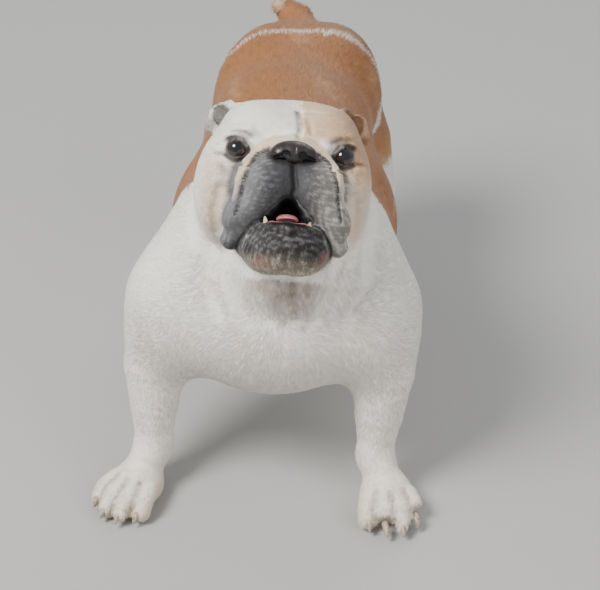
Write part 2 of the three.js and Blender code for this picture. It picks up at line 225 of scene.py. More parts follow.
def hindleg(side, leg):
    hock, ankle = (side * 80, 462, 92, 21), (side * 84, 446, 44, 20)
    return [limb([(side * 70, 412, 225, 46), (side * 84, 385, 178, 42), hock], 24),
            limb([hock, ankle], 12), *foot(ankle, leg)]


legs = [
    *foreleg((124, 46, 150, 36), (118, 21, 52, 19.5), "foreleg_left"),
    *foreleg((-132, 46, 150, 36), (-134, 20, 52, 20), "foreleg_right"),
    *hindleg(1, "hindleg_left"),
    *hindleg(-1, "hindleg_right"),
]
body = trunk + neck + tail + legs
print("body masses", len(body))

# %% [markdown]
# The head is tipped up 35 degrees. Its masses are written in a frame of its own: x is the
# animal's left, y goes back into the skull, z goes up the face, and the origin is the
# middle of the nose leather. The folds that give the breed its look are limbs here too:
# the roll over the nose, the lips that hang over the jaw, and the lids.

# %% Head
NOSE_AT = (27, 4, 455)
HEAD_TURN, HEAD_LIFT, HEAD_ROLL = 9, 35, 7  # in degrees
turned, lifted = math.radians(HEAD_TURN), math.radians(HEAD_LIFT)
back_axis = Vector((-math.sin(turned) * math.cos(lifted), math.cos(turned) * math.cos(lifted),
                    -math.sin(lifted)))
left_axis = Matrix.Rotation(math.radians(HEAD_ROLL), 3, back_axis) @ Vector(
    (math.cos(turned), math.sin(turned), 0))
HEAD = np.array([left_axis, back_axis, left_axis.cross(back_axis)])

face = [
    flesh((0, 106, -3), (82, 74, 63), 20),                                       # skull
    *pair(lambda s: flesh((s * 34, 84, 30), (38, 42, 29), 16)),                  # crown
    flesh((0, 60, 22), (30, 30, 20), 14),                                        # forehead
    *pair(lambda s: flesh((s * 36, 56, 18), (36, 26, 22), 14)),                  # brows
    *pair(lambda s: flesh((s * 60 - 3, 88, -36), (35, 50, 58), 20)),             # cheeks
    *pair(lambda s: flesh((s * 64, 62, -22), (22, 24, 24), 14)),                 # cheekbones
]
MUZZLE = [
    flesh((0, 42, -34), (56, 46, 48), 10),                                       # its middle
    *pair(lambda s: flesh((s * 27, 18, -33), (28, 27, 28), 8)),                  # cushions
    *pair(lambda s: flesh((s * 35, 20, -51), (40, 25, 20), 8, (0, s * 44, 0))),  # upper lips
    *pair(lambda s: limb([(s * 47, 27, -76, 16), (s * 54, 34, -90, 12.5)], 8)),  # flews
]
face += MUZZLE
jaw = [
    flesh((0, 14, -98), (41, 30, 26), 10),
    *pair(lambda s: limb([(0, -8, -77, 6), (s * 16, -5, -76, 6), (s * 30, 8, -82, 7)], 6)),
    *pair(lambda s: limb([(s * 20, 22, -98, 24), (s * 42, 66, -78, 24)], 14)),
]


def ear(s):
    """A peak, a rim that folds over, a flap under them, and the hollow in front of it."""
    peak = 67 if s < 0 else 63
    return [limb([(s * 50, 98, 48, 7), (s * 60, 110, 60, 5), (s * 64, 113, peak, 3.2)], 5),
            limb([(s * 64, 114, 62, 4.5), (s * 76, 120, 48, 6), (s * 85, 124, 34, 6),
                  (s * 84, 124, 24, 4.5)], 5),
            flesh((s * 70, 124, 38), (13, 9, 20), 6, (0, s * 35, 0)),
            hollow(flesh((s * 70, 110, 40), (8, 13, 15), 3, (0, s * 35, 0)))]


print("head masses", len(face) + len(jaw))

# %% [markdown]
# Folds and creases follow the face they lie on. A short function finds how far forward the
# face stands at a place seen from the front, and a crease is then a thin hollow limb that
# runs just under it, and a fold a limb that stands just out of it.

# %% Folds
def on_face(x, z, masses=None):
    """How far forward the face stands at x, z."""
    q = np.array([(x, y, z) for y in np.arange(-90, 140, 0.5)])
    d = distance_to(masses or face, q)
    inside = np.nonzero(d < 0)[0]
    return q[inside[0] if len(inside) else d.argmin(), 1]


def along_face(places, radius, sunk, masses=None):
    """Stations of a limb that follows the face, thinner towards its end."""
    spots = []
    for (x0, z0), (x1, z1) in zip(places[:-1], places[1:]):
        spots += [(x0 + t * (x1 - x0), z0 + t * (z1 - z0)) for t in (0, 0.25, 0.5, 0.75)]
    spots.append(places[-1])
    spots = np.array([(x, on_face(x, z, masses), z) for x, z in spots])
    _, slope = slope_of(lambda p: distance_to(masses or face, p), spots)
    spots -= sunk * slope / np.linalg.norm(slope, axis=1)[:, None]
    fade = 1 - 0.55 * np.linspace(0, 1, len(spots)) ** 3
    return [(*place, radius * f) for place, f in zip(spots, fade)]


def crease(places, radius, deep, soft=3, masses=None):
    return hollow(limb(along_face(places, radius, deep - radius, masses), soft))


def fold(places, radius, high, soft=4):
    return limb(along_face(places, radius, radius - high), soft)


# the roll over the nose that runs down beside the lips, and the crease under it
roll = [(0, 13), (16, 11), (32, 5), (45, -10), (53, -30), (55, -50)]
under = [(22, 4), (33, -1), (42, -14), (48, -32), (50, -50), (54, -66)]
ROLLS = pair(lambda s: fold([(s * x, z) for x, z in roll], 9, 4.5, 7))
face += ROLLS
UNDER = pair(lambda s: crease([(s * x, z) for x, z in under], 2, 4.2, 2.5))
face += UNDER
# cheek folds outside it, and a crease that the flews hang over
face += pair(lambda s: crease([(s * 70, -40), (s * 73, -62), (s * 70, -86)], 3, 2.2, 5))
# the dewlap's folds below the chin, in the body's own frame
DEWLAP = [crease([(24, 334), (27, 300), (31, 266)], 4, 4, 8, body),
          crease([(-20, 336), (-14, 300), (2, 264)], 4, 3, 8, body),
          crease([(74, 328), (66, 298), (50, 262)], 4, 3, 8, body),
          crease([(-60, 330), (-66, 296), (-48, 262)], 5, 2.4, 10, body),
          crease([(104, 322), (104, 290), (84, 258)], 5, 2.4, 10, body)]
body += DEWLAP
# furrows of the forehead, the small bulb between them, and the fold over it
FURROWS = [crease([(5, 49), (7, 40), (8, 30), (7, 19)], 2.2, 3.4),
           crease([(14, 42), (16, 34), (19, 25)], 1.8, 2.4),
           crease([(8, 48), (18, 50), (30, 49)], 1.8, 2)]
face += FURROWS
# the groove of the upper lip
GROOVE = [crease([(2, -9), (3, -22), (5, -34), (2, -46)], 1.9, 2.8)]
face += GROOVE
# the open mouth, wide below and narrow above
MOUTH = [flesh((0, 4, -67), (25, 40, 7), 4), flesh((0, 4, -61), (18, 40, 9), 4),
         flesh((0, 4, -55), (10, 40, 10), 4)]
face += [hollow(mass) for mass in MOUTH]
print("head masses with folds", len(face) + len(jaw), "and body masses", len(body))

# %% [markdown]
# An eye sits deep in a socket. Both lids lie on the ball itself, so their edges are placed
# by directions from its middle: the upper lid is thicker, and a brow fold hangs over it.

# %% Eye sockets and lids
EYE, BALL = (55, 47, 3), 13  # the left eye's middle and radius; the right eye mirrors it


def round_ball(s, directions, radius, out):
    """Stations of a lid, a little out from the ball, by their directions from its middle."""
    rows = []
    for x, z in directions:
        y = -math.sqrt(1 - x * x - z * z)
        rows.append((s * (EYE[0] + out * x), EYE[1] + out * y, EYE[2] + out * z, radius))
    return rows


UPPER = [(-0.82, -0.3), (-0.6, 0.2), (-0.25, 0.54), (0.12, 0.6), (0.5, 0.4), (0.88, -0.14)]
LOWER = [(-0.82, -0.3), (-0.5, -0.58), (0, -0.68), (0.5, -0.58), (0.88, -0.14)]
# the dent of the socket, the brow fold and both lids
face += pair(lambda s: hollow(flesh((s * 55, 32, 3), (13, 10, 11), 4)))
face += pair(lambda s: fold([(s * 36, 12), (s * 46, 22), (s * 60, 22), (s * 74, 10)], 6, 3, 6))
face += pair(lambda s: limb(round_ball(s, UPPER, 3.4, BALL + 1.6), 3))
face += pair(lambda s: limb(round_ball(s, LOWER, 2.8, BALL + 1.4), 3))
# creases at the outer corner, over the upper lid and under the lower one
face += pair(lambda s: crease([(s * 66, -1), (s * 72, -2), (s * 78, -5)], 1.8, 2.2))
face += pair(lambda s: crease([(s * 42, 14), (s * 52, 19), (s * 64, 17)], 1.4, 1.6))
face += pair(lambda s: crease([(s * 42, -12), (s * 52, -15), (s * 66, -13)], 1.5, 1.6))


def to_head(p):
    return (p - np.array(NOSE_AT)) @ HEAD.T


def from_head(q):
    return np.asarray(q, float) @ HEAD + np.array(NOSE_AT)


def dog_distance(p):
    """Distance to the outline of the coat, over body and head."""
    d = distance_to(body, p)
    close = np.nonzero(np.linalg.norm(p - from_head((0, 80, -30)), axis=1) < 260)[0]
    q = to_head(p[close])
    head = melt(distance_to(face, q), distance_to(jaw, q), 3)
    head = melt(head, distance_to(pair(ear), q), 3)
    d[close] = melt(d[close], head, 18)
    return d


# %% [markdown]
# The skin is one closed surface, so that no seam shows between head, neck and legs. Copies of
# the flesh nodes are joined and remeshed, and then every vertex is drawn onto the soft masses,
# a coat's depth inside them.

# %% Skin
FLESH = [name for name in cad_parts
         if name.split("_")[0] in ("head", "lower", "neck", "trunk", "tail", "foreleg", "hindleg", "ear")]
print("flesh nodes", FLESH)


def joined_copy(names, name):
    bm = bmesh.new()
    for node in names:
        bm.from_mesh(bpy.data.objects[node].data)
    bmesh.ops.remove_doubles(bm, verts=bm.verts, dist=1e-6)
    mesh = bpy.data.meshes.new(name)
    bm.to_mesh(mesh)
    bm.free()
    made = bpy.data.objects.new(name, mesh)
    bpy.context.scene.collection.objects.link(made)
    return made


def applied(piece):
    graph = bpy.context.evaluated_depsgraph_get()
    mesh = bpy.data.meshes.new_from_object(piece.evaluated_get(graph))
    piece.modifiers.clear()
    piece.data = mesh
    return piece


def remeshed(piece, voxel):
    change = piece.modifiers.new("remesh", "REMESH")
    change.mode = "VOXEL"
    change.voxel_size = voxel
    return applied(piece)


def points_of(mesh):
    co = np.empty(len(mesh.vertices) * 3)
    mesh.vertices.foreach_get("co", co)
    return co.reshape(-1, 3)


def to_mm(co):
    return co * 1000 - ORIGIN


def from_mm(p):
    return (p + ORIGIN) / 1000


BODY_COAT, FACE_COAT = 2.0, 0.8  # depth of the coat in mm


def coat_depth(p):
    """Coat depth in mm: thin on face and feet, deeper on neck and rump."""
    q = to_head(p)
    of_muzzle = np.clip((60 - q[:, 1]) / 50, 0, 1) * (q[:, 2] > -140)
    of_foot = np.clip((70 - p[:, 2]) / 50, 0, 1)
    return BODY_COAT - (BODY_COAT - FACE_COAT) * np.maximum(of_muzzle, of_foot)


def drawn_on(piece, rounds, most, distance=None, depth=None, zone=None):
    """Moves every vertex down the slope to the surface, at most so many mm a round."""
    every = to_mm(points_of(piece.data))
    moved = np.ones(len(every), bool) if zone is None else zone(to_head(every))
    p = every[moved]
    for _ in range(rounds):
        d, slope = slope_of(distance or dog_distance, p)
        steep = np.maximum((slope ** 2).sum(1), 0.25)
        step = slope * ((d + (depth or coat_depth)(p)) / steep)[:, None]
        length = np.linalg.norm(step, axis=1)
        p -= step * np.minimum(1, most / np.maximum(length, 1e-9))[:, None]
    every[moved] = p
    every[:, 2] = np.maximum(every[:, 2], 0.3)
    piece.data.vertices.foreach_set("co", from_mm(every).ravel())
    piece.data.update()


# the eyes close their sockets, and the claws carry the surface out to the tips of the toes
CLAWS = [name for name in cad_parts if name.startswith("claw")]
skin = joined_copy(FLESH + CLAWS + ["eye_left", "eye_right"], "skin")
remeshed(skin, 0.004)
drawn_on(skin, 5, 4)
remeshed(skin, 0.0043)  # with the finer face, this keeps it under 200,000 triangles
drawn_on(skin, 3, 2)
print("skin faces", len(skin.data.polygons), "at", round(time.time() - began, 1), "s")

# %% [markdown]
# The head needs a finer mesh than the body, and the front of the face a finer one again.
# Their edges are subdivided, and the new vertices are drawn onto the folds.

# %% Finer head
def refined(piece, wanted):
    """Cuts every edge of a zone in two."""
    bm = bmesh.new()
    bm.from_mesh(piece.data)
    chosen = wanted(to_head(to_mm(points_of(piece.data))))
    edges = [e for e in bm.edges if chosen[e.verts[0].index] and chosen[e.verts[1].index]]
    bmesh.ops.subdivide_edges(bm, edges=edges, cuts=1, use_grid_fill=True)
    bmesh.ops.triangulate(bm, faces=[f for f in bm.faces if len(f.verts) > 4])
    bm.to_mesh(piece.data)
    bm.free()


def evened(piece, wanted, rounds):
    """Spreads the vertices evenly over the surface, between two draws."""
    bm = bmesh.new()
    bm.from_mesh(piece.data)
    bm.verts.ensure_lookup_table()
    chosen = np.nonzero(wanted(to_head(to_mm(points_of(piece.data)))))[0]
    for _ in range(rounds):
        bmesh.ops.smooth_vert(bm, verts=[bm.verts[i] for i in chosen], factor=0.5,
                              use_axis_x=True, use_axis_y=True, use_axis_z=True)
    bm.to_mesh(piece.data)
    bm.free()


def of_face(q):
    return (q[:, 1] < 66) & (q[:, 2] > -130) & (q[:, 2] < 62) & (np.abs(q[:, 0]) < 82)


def of_front(q):
    return (q[:, 1] < 50) & (q[:, 2] > -112) & (q[:, 2] < 24) & (np.abs(q[:, 0]) < 70)


for zone in (of_face, of_front):
    refined(skin, zone)
    evened(skin, zone, 2)
    drawn_on(skin, 3, 1, zone=zone)
    evened(skin, zone, 1)
    drawn_on(skin, 2, 1, zone=zone)
print("skin faces", len(skin.data.polygons), "at", round(time.time() - began, 1), "s")

# %% [markdown]
# The markings are worked out from where a point is on the animal, so that skin and coat
# agree and every side has them: a tan saddle with a thin white band over the loin, a grey
# muzzle with speckles, a tan patch over the left eye, and white elsewhere. Painted shade is
# laid in with them, in creases and hollows, in the mouth and between the toes.

# %% Markings
def rgb(code):
    """An sRGB hex code as linear red, green and blue."""
    value = np.array([int(code[i:i + 2], 16) / 255 for i in (1, 3, 5)])
    return np.where(value <= 0.04045, value / 12.92, ((value + 0.055) / 1.055) ** 2.4)


WHITE, CREAM = rgb("#f8f1e5"), rgb("#e4d5ba")
TAN, TAN_DARK, TAN_LIGHT, BROWN = rgb("#a16c40"), rgb("#704e32"), rgb("#d3a878"), rgb("#6b4c31")
GREY, GREY_DARK, GREY_PALE, BLACK = rgb("#8f8d8c"), rgb("#4a4849"), rgb("#c9c2b4"), rgb("#1c1a1a")
# some of these colours are painted shade: those laid in the mouth, in creases and hollows, and between the
# toes
PINK, GUM, THROAT, TOE_GAP_SHADE = rgb("#a5776a"), rgb("#c97674"), rgb("#7a5f42"), rgb("#6b5a48")
FURROW_SHADE, CREASE_SHADE, CHIN = rgb("#4a3524"), rgb("#241a16"), rgb("#2e2a28")
MOUTH_SHADE, EAR_HOLLOW_SHADE, EAR_TIP, EAR_EDGE = rgb("#0b0606"), rgb("#38332f"), rgb("#5c4632"), rgb("#5c564f")


def blot(p, size, seed):
    """Smooth blotches between -1 and 1, from a few turned waves."""
    turn = np.random.default_rng(seed)
    total = np.zeros(len(p))
    for octave in range(4):
        for _ in range(3):
            way = turn.normal(size=3)
            way *= 2 ** octave / size / np.linalg.norm(way)
            total += np.sin(p @ way * 2 * math.pi + turn.uniform(0, 6.28)) / (octave + 1.6)
    return np.clip(total / 3.2, -1, 1)


def rise(x, low, high):
    """0 below low, 1 above high, and smooth between them."""
    t = np.clip((x - low) / (high - low), 0, 1)
    return t * t * (3 - 2 * t)


def spot(q, at, radii):
    """1 in the middle of a soft patch and 0 outside it."""
    return rise(1.4 - np.linalg.norm((q - np.array(at)) / np.array(radii), axis=1), 0, 0.8)


def painted(colour, other, amount):
    """One colour laid over another, by an amount from 0 to 1 at each point."""
    return colour + (other - colour) * np.clip(amount, 0, 1)[:, None]


# the nose leather: its body and wings, and hollows for nostrils, their slits and the groove
leather = [flesh((1, 8, 1), (22, 11.5, 12), 4),
           *pair(lambda s: flesh((2 + s * 14, 8, -2), (9.5, 10.5, 8.5), 4)),
           *pair(lambda s: hollow(limb([(2 + s * 8.5, -8, -3, 4), (2 + s * 9, 6, -2, 3.4)], 1.5))),
           *pair(lambda s: hollow(limb([(2 + s * 10, -3, -4, 2.6), (2 + s * 20, 1, -7, 2)], 1.5))),
           hollow(limb([(2, -4, 8, 1.1), (2, -4, -12, 1.7)], 1.5))]


def near(masses, q, full, none):
    """1 closer to the masses than full, in mm, and 0 further off than none."""
    d = np.min([own_distance(mass, q) for mass in masses], axis=0)
    return 1 - rise(d, full, none)


def body_markings(p):
    x, y, z = p.T
    wave, fine = blot(p, 90, 1), blot(p, 14, 2)
    colour = painted(np.tile(WHITE, (len(p), 1)), CREAM, 0.4 * rise(90 - z, 0, 80) + 0.12 * (wave + 0.3))
    # the saddle: its front edge, its lower edge, a pale strip on the left flank and the loin band
    front = 132 + 0.35 * np.clip(300 - z, -40, 80) + 20 * wave + 5 * fine
    under = 226 + 15 * wave + 5 * fine - 10 * rise(y, 340, 420)
    saddle = rise(y, front - 6, front + 6) * rise(z, under - 7, under + 7)
    middle = 282 + 9 * blot(p, 90, 5) + 3 * fine
    breadth = (6.5 + 3 * fine) * rise(y, 150, 260) * rise(470 - y, 0, 70)
    strip = rise(breadth - np.abs(z - middle), -1.5, 2.5) * (x > 40)
    breadth = (3.4 + 2 * fine) * rise(z, 268, 300) * (1 + 0.4 * rise(x, 0, 60))
    band = rise(breadth - np.abs(y - 405 - 0.12 * np.abs(x) - 6 * wave), -1.5, 2)
    saddle = saddle * (1 - 0.8 * np.clip(0.9 * strip + 0.65 * band, 0, 1))
    tone = np.tile(TAN, (len(p), 1))
    tone = painted(tone, TAN_DARK, 0.4 * rise(fine, 0.1, 0.9) + 0.3 * rise(z, 320, 400))
    tone = painted(tone, TAN_LIGHT, 0.6 * rise(270 - z, 0, 60) + 0.35 * rise(wave, 0.2, 1))
    tone = painted(tone, CREAM, 0.6 * spot(p, (-28, 484, 380), (8, 10, 10)))
    colour = colour * (1 - saddle[:, None]) + tone * saddle[:, None]
    # a brown stain under the throat, painted shade between the toes, and brown in the dewlap's folds that
    # is partly a stain and partly painted shade in the creases
    throat = spot(p, (24, -36, 322), (46, 40, 20)) + 0.7 * spot(p, (28, -32, 294), (26, 40, 34))
    colour = painted(colour, THROAT, np.clip(throat, 0, 1) * (0.5 + 0.25 * fine))
    # painted shade in the hollows between the toes
    low = p[:, 2] < 45
    toe_gap_shade = np.zeros(len(p))
    toe_gap_shade[low] = near([m for m in legs if m.get("hollow")], p[low], 0.5, 3.5)
    colour = painted(colour, TOE_GAP_SHADE, 0.5 * toe_gap_shade)
    # the dewlap's folds: brown that is partly a stain and partly painted shade in the creases
    folds = near(DEWLAP, p, 0, 6) * (0.35 + 0.3 * rise(wave + fine, -0.4, 0.6))
    colour = painted(colour, BROWN, folds * (p[:, 1] < 60))
    return painted(colour, CREAM, 0.55 * rise(46 - z, 0, 30) * (y < 80))


def head_markings(p, q):
    hx, hy, hz = q.T
    fine, grain = blot(p, 14, 2), blot(p, 5, 3)
    speckle = rise(grain + 0.5 * fine, -0.1, 0.6)
    own = np.tile(WHITE, (len(p), 1))
    # a tan patch over the left eye, tan cheeks, and dark brown painted shade in the furrows
    patch = np.maximum(rise(hx - 7 + 5 * fine, 0, 6) * rise(hz, 8, 22), spot(q, (70, 70, 10), (22, 45, 40)))
    own = painted(own, TAN_LIGHT, 0.75 * patch)
    own = painted(own, TAN, 0.5 * patch * rise(hx, 20, 60))
    for s in (1, -1):
        own = painted(own, TAN_LIGHT, 0.5 * spot(q, (s * 74, 60, -44), (14, 40, 44)))
    # painted shade in the furrows of the forehead
    own = painted(own, FURROW_SHADE, 0.8 * near(FURROWS[:2], q, 0.2, 2.2))
    # the roll over the nose is cream
    rolls = near(ROLLS, q, 0, 2) * rise(hz, -62, -46)
    own = painted(own, TAN_LIGHT, 0.6 * rolls)
    # the muzzle is black in the middle, dark grey on its right side and paler on its left
    muzzle = near(MUZZLE, q, 3.5, 9) * rise(50 - hy, 0, 12) * (1 - rolls) * rise(6 - hz, 0, 4)
    coat = painted(np.tile(GREY_DARK, (len(p), 1)), GREY, 0.8 * speckle * rise(np.abs(hx), 4, 34))
    coat = painted(coat, GREY, 0.5 * rise(-hx, 16, 44) * (1 - rise(-hz, 84, 98)))
    coat = painted(coat, GREY_PALE, (0.35 + 0.5 * speckle) * rise(hx, 16, 48))
    coat = painted(coat, BLACK, 0.55 * rise(14 - np.abs(hx), 0, 14))
    own = own * (1 - muzzle[:, None]) + coat * muzzle[:, None]
    # the chin is black with pale speckles, and cream and pink below
    gap = distance_to(face, q) - distance_to(jaw, q)
    chin = rise(gap, -1, 1) * near(jaw, q, 2, 5) * rise(48 - hy, 0, 16)
    coat = painted(np.tile(CHIN, (len(p), 1)), GREY, 0.45 * speckle)
    coat = painted(coat, CREAM, rise(-hz, 98, 122) * (0.35 + 0.6 * speckle))
    bare_skin = spot(q, (38, 16, -104), (10, 20, 11)) + spot(q, (-22, 6, -112), (12, 20, 7))
    coat = painted(coat, PINK, 0.45 * np.clip(bare_skin, 0, 1))
    own = own * (1 - chin[:, None]) + coat * chin[:, None]
    # black lips, painted shade in the creases under the rolls, in the lip's groove and in the open mouth,
    # and the pink gum behind the lower lip
    lips = (1 - rise(np.abs(gap), 1.2, 3.2)) * near(jaw, q, 3, 6) * rise(55 - hy, 0, 14)
    own = painted(own, BLACK, 0.9 * lips)
    # painted shade in the crease under each roll
    own = painted(own, CREASE_SHADE, 0.8 * near(UNDER, q, 0, 2))
    # painted shade in the groove of the upper lip
    own = painted(own, BLACK, 0.75 * near(GROOVE, q, 0.3, 3))
    own = painted(own, BLACK, 0.9 * (1 - rise(distance_to(leather, q), 1, 5)))
    # the open mouth is filled with painted shade
    own = painted(own, MOUTH_SHADE, near(MOUTH, q, 1.2, 3.4) * rise(hz, -76, -73))
    gum = rise(20 - np.abs(hx), 0, 3) * rise(hz, -74, -72.5) * rise(-hz, 66, 68) * (hy > -8) * (hy < 12)
    own = painted(own, GUM, 0.9 * gum)
    # black lids and corner of the eye, painted shade in grey under the brow over the inner corner, a brown
    # patch under the eye, and painted shade in the ear's hollow
    for s in (1, -1):
        from_eye = np.linalg.norm(q - np.array((s * EYE[0], *EYE[1:])), axis=1)
        own = painted(own, BLACK, 0.92 * (1 - rise(from_eye, 15.8, 18.4)) * rise(48 - hy, 0, 6))
        own = painted(own, BLACK, 0.6 * spot(q, (s * 72, 52, -3), (6, 12, 2.4)))
        # painted shade under the brow, over the inner corner of the eye
        own = painted(own, GREY_DARK, 0.5 * spot(q, (s * 46, 34, 17), (12, 12, 5)))
        own = painted(own, BROWN, 0.5 * spot(q, (s * 60, 42, -17), (14, 20, 9)) * rise(fine, -0.5, 0.5))
        # the ear's hollow is darkened with painted shade, dark grey on the right ear and brown on the left
        inside = near([m for m in ear(s) if m.get("hollow")], q, 1.5, 5) * rise(hy, 98, 106)
        own = painted(own, EAR_HOLLOW_SHADE if s < 0 else BROWN, 0.9 * inside)
    own = painted(own, EAR_TIP, 0.8 * spot(q, (60, 112, 58), (9, 14, 10)))
    own = painted(own, EAR_EDGE, 0.6 * spot(q, (-84, 124, 30), (7, 12, 12)))
    return painted(own, BROWN, 0.7 * spot(q, (82, 124, 27), (6, 8, 6)))


def markings(p):
    """Colour of skin and coat at each point of the animal, with painted shade in its creases and hollows.
    """
    colour = body_markings(p)
    q = to_head(p)
    is_head = np.linalg.norm(q - np.array((0, 70, -20)), axis=1) < 150
    is_head &= (q[:, 1] < 138) & (q[:, 2] > -128)
    colour[is_head] = head_markings(p[is_head], q[is_head])
    return np.clip(colour, 0, 1)


def linked(mesh, name, material, node=None):
    """A smooth piece with one material, which takes the place of a CAD node if one is named."""
    made = bpy.data.objects.new(name, mesh)
    bpy.context.scene.collection.objects.link(made)
    mesh.materials.clear()
    mesh.materials.append(material)
    mesh.polygons.foreach_set("use_smooth", np.ones(len(mesh.polygons), bool))
    if node:
        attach(made, "root")
        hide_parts(node)
    return made


def paint(piece, colours):
    layer = piece.data.attributes.new("markings", "FLOAT_COLOR", "POINT")
    values = np.concatenate([colours, np.ones((len(colours), 1))], axis=1)
    layer.data.foreach_set("color", values.ravel())


skin_points = to_mm(points_of(skin.data))
paint(skin, markings(skin_points))
print("markings on", len(skin_points), "vertices")

# %% [markdown]
# Skin under a short coat is matt and grows hair too fine to model, so the hair is a fine
# bump here, and a little sheen gives the soft edge that light has on a coat. The same markings
# colour it as colour the tufts. A hair is 0.05 mm thick, too fine for the render, so the noise
# is as coarse as a lock of hairs: 900 to the metre is one in 1.1 mm, and 0.6 mm deep.

# %% Short coat over the skin
def add_node(tree, kind, inputs=(), links=(), **settings):
    """Adds a node, sets it and its inputs, and joins other nodes' outputs to it."""
    node = tree.nodes.new(kind)
    for key, value in settings.items():
        setattr(node, key, value)
    for key, value in dict(inputs).items():
        node.inputs[key].default_value = value
    for source, output, target in links:
        tree.links.new(source.outputs[output], node.inputs[target])
    return node


def new_material(name, finish):
    made = bpy.data.materials.new(name)
    made.use_nodes = True
    tree = made.node_tree
    shader = tree.nodes["Principled BSDF"]
    for socket, value in finish.items():
        shader.inputs[socket].default_value = value
    return made, tree, shader


short_coat, tree, shader = new_material("short_coat_over_skin", {
    "Roughness": 0.7, "Specular IOR Level": 0.3, "Sheen Weight": 0.25, "Sheen Roughness": 0.4})
coordinates = add_node(tree, "ShaderNodeTexCoord")
marks = add_node(tree, "ShaderNodeAttribute", attribute_name="markings")
hairs = add_node(tree, "ShaderNodeTexNoise", {"Scale": 900.0, "Detail": 3.0, "Roughness": 0.7},
                 [(coordinates, "Object", "Vector")])
bump = add_node(tree, "ShaderNodeBump", {"Strength": 0.35, "Distance": 0.0006}, [(hairs, "Fac", "Height")])
tree.links.new(marks.outputs["Color"], shader.inputs["Base Color"])
tree.links.new(bump.outputs["Normal"], shader.inputs["Normal"])
skin.data.materials.clear()
skin.data.materials.append(short_coat)
skin.data.polygons.foreach_set("use_smooth", np.ones(len(skin.data.polygons), bool))
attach(skin, "root")
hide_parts(*FLESH)

# %% [markdown]
# The nose leather is bare, wet and pebbled, with two comma-shaped nostrils and a groove
# between them. The CAD nose is remeshed finely and drawn onto masses that have them. It is
# thick skin without hair: wet, so it shines, and its pebbles break the shine up. They are
# about 1.6 mm across here, 620 to the metre, a little coarser than life so that they show.

# %% Nose
nose = joined_copy(["nose"], "nose_leather_detailed")
for voxel, rounds, most in ((0.0013, 8, 2), (0.0009, 3, 1)):
    remeshed(nose, voxel)
    drawn_on(nose, rounds, most, lambda p: distance_to(leather, to_head(p)), lambda p: np.zeros(len(p)))

wet_leather, tree, shader = new_material("wet_nose_leather", {"Roughness": 0.32})
coordinates = add_node(tree, "ShaderNodeTexCoord")
pebbles = add_node(tree, "ShaderNodeTexVoronoi", {"Scale": 620.0}, [(coordinates, "Object", "Vector")])
bump = add_node(tree, "ShaderNodeBump", {"Strength": 0.5, "Distance": 0.0005},
                [(pebbles, "Distance", "Height")], invert=True)
marks = add_node(tree, "ShaderNodeAttribute", attribute_name="markings")
tree.links.new(marks.outputs["Color"], shader.inputs["Base Color"])
tree.links.new(bump.outputs["Normal"], shader.inputs["Normal"])
nose.data.materials.clear()
nose.data.materials.append(wet_leather)
q = to_head(to_mm(points_of(nose.data)))
hue = painted(np.tile(rgb("#171413"), (len(q), 1)), rgb("#3b322f"), 0.5 + 0.5 * blot(q, 12, 4))
# the nostrils and their slits are darker still: painted shade in the hollows
paint(nose, painted(hue, rgb("#060505"), near([m for m in leather if m.get("hollow")][:4], q, 0.4, 1.6)))
nose.data.polygons.foreach_set("use_smooth", np.ones(len(nose.data.polygons), bool))
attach(nose, "root")
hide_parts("nose")
print("nose faces", len(nose.data.polygons))

# %% [markdown]
# The eyes are dark brown and wet, and the cornea bulges a little over the iris. Their
# colours are painted by the angle from the way the dog looks: pupil, iris with spokes, a dark
# rim, and the brownish white. The film of tears is a clear coat that mirrors the lights.

# %% Eyes
eye_wet, tree, shader = new_material("wet_eye", {
    "Roughness": 0.06, "Coat Weight": 1.0, "Coat Roughness": 0.02})
marks = add_node(tree, "ShaderNodeAttribute", attribute_name="markings")
tree.links.new(marks.outputs["Color"], shader.inputs["Base Color"])


def eye_ball(side, node):
    bm = bmesh.new()
    bmesh.ops.create_uvsphere(bm, u_segments=72, v_segments=56, radius=1)
    mesh = bpy.data.meshes.new(node + "_detailed")
    bm.to_mesh(mesh)
    bm.free()
    ball = points_of(mesh)
    gaze = np.array((side * 0.08, -1.0, 0.04))
    gaze /= np.linalg.norm(gaze)
    angle = np.degrees(np.arccos(np.clip(ball @ gaze, -1, 1)))
    out = BALL - 0.15 + 1.0 * np.clip(1 - (angle / 42) ** 2, 0, 1)
    placed = from_head(ball * out[:, None] + np.array((side * EYE[0], *EYE[1:])))
    mesh.vertices.foreach_set("co", from_mm(placed).ravel())
    spokes = blot(ball * 30 / np.maximum(np.sin(np.radians(angle)), 0.1)[:, None], 9, 7)
    colour = np.tile(rgb("#63504a"), (len(ball), 1))
    colour = painted(colour, rgb("#3e2822"), rise(angle, 56, 66))
    colour = painted(colour, rgb("#0e0a08"), 1 - rise(angle, 49, 52))
    colour = painted(colour, rgb("#2b190f"), (1 - rise(angle, 38, 48)) * (0.7 + 0.3 * spokes))
    colour = painted(colour, rgb("#040404"), 1 - rise(angle, 20, 22))
    made = linked(mesh, node + "_detailed", eye_wet, node)
    paint(made, colour)
    return made


eye_ball(1, "eye_left")
eye_ball(-1, "eye_right")
print("eyes at", [tuple(round(c, 1) for c in from_head((s * EYE[0], *EYE[1:]))) for s in (1, -1)])

# %% [markdown]
# Claws and teeth are horns: round sections along a curve, each smaller than the last, made
# as circles that are bridged. The claws are worn blunt, as on a heavy dog that walks on hard
# ground. They are pale horn, half glossy, and streaked about every 3 mm (300 to the metre).
# Tooth enamel is smoother and yellows in patches of 6 mm (160). The tongue is wet, with
# bumps of 2 mm (500), which is coarser than its real grain, so that they show.

